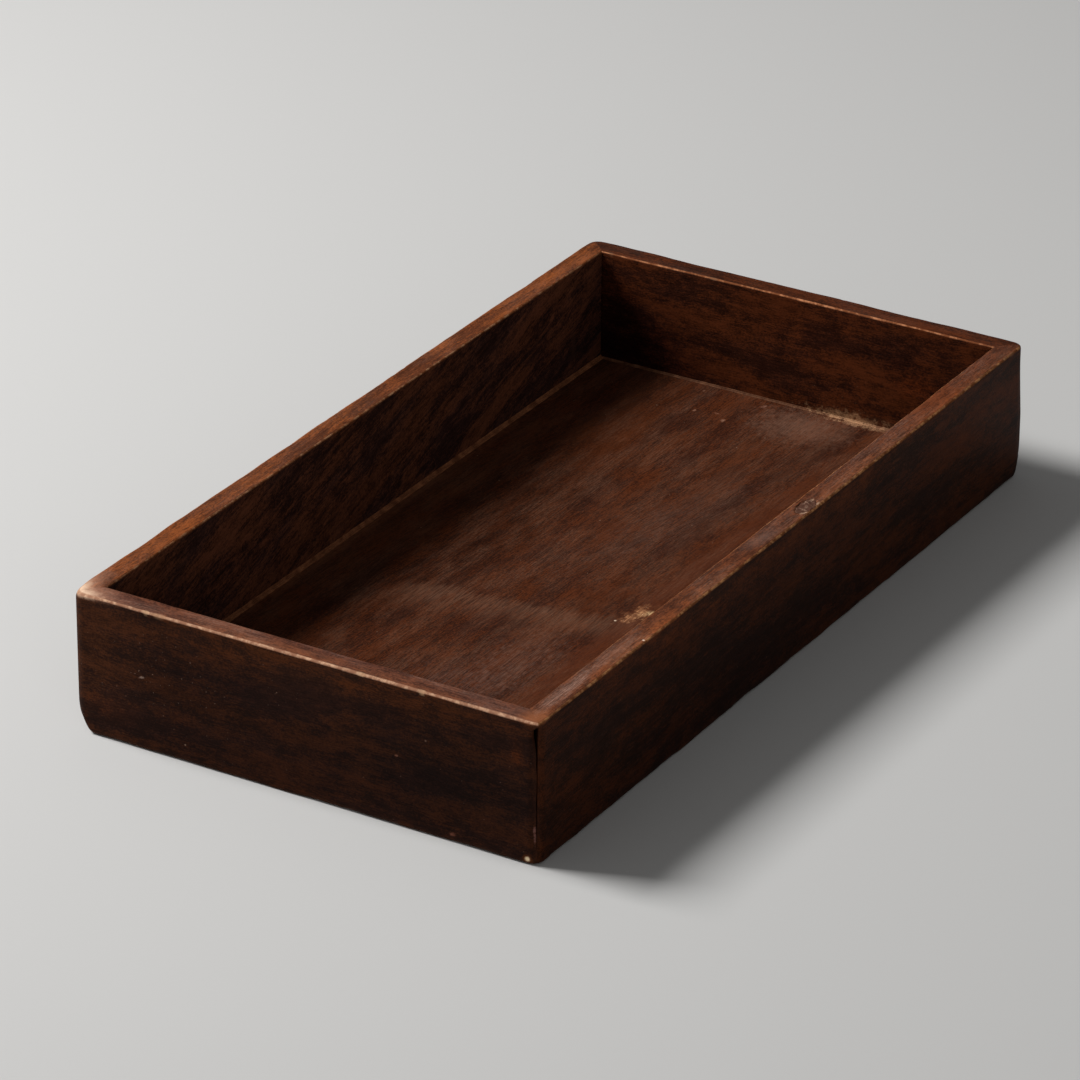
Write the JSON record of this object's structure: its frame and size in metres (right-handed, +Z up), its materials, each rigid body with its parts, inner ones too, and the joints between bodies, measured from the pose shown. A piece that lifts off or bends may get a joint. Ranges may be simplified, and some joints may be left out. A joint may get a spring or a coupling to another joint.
{
  "type": "wooden tray",
  "caption": "Open rectangular wooden tray of dark-stained boards, with mitred corners and a base panel let into the walls.",
  "frame": {"origin": "middle of the footprint, on the surface that the tray stands on", "axes": "+X along the tray's length towards the far end, +Y across it towards the left side, +Z up"},
  "size_m": [0.4, 0.211, 0.061],
  "materials": {
    "stained_wood": "worn satin stain, open grain",
    "panel_wood": "worn satin stain, dusty",
    "spline_wood": "bare sawn wood",
    "old_glue": "aged glue and wax with dust",
    "wood_filler": "matt, dry and cracked"
  },
  "bodies": {
    "root": {"near_end_wall": "stained_wood", "far_end_wall": "stained_wood", "left_side_wall": "stained_wood", "right_side_wall": "stained_wood", "base_panel": "panel_wood", "near_right_spline": "spline_wood", "far_right_spline": "spline_wood", "far_left_spline": "spline_wood", "near_left_spline": "spline_wood", "near_end_glue_bead": "old_glue", "far_end_glue_bead": "old_glue", "left_side_glue_bead": "old_glue", "right_side_glue_bead": "old_glue", "rim_filler": "wood_filler"}
  },
  "joints": []
}
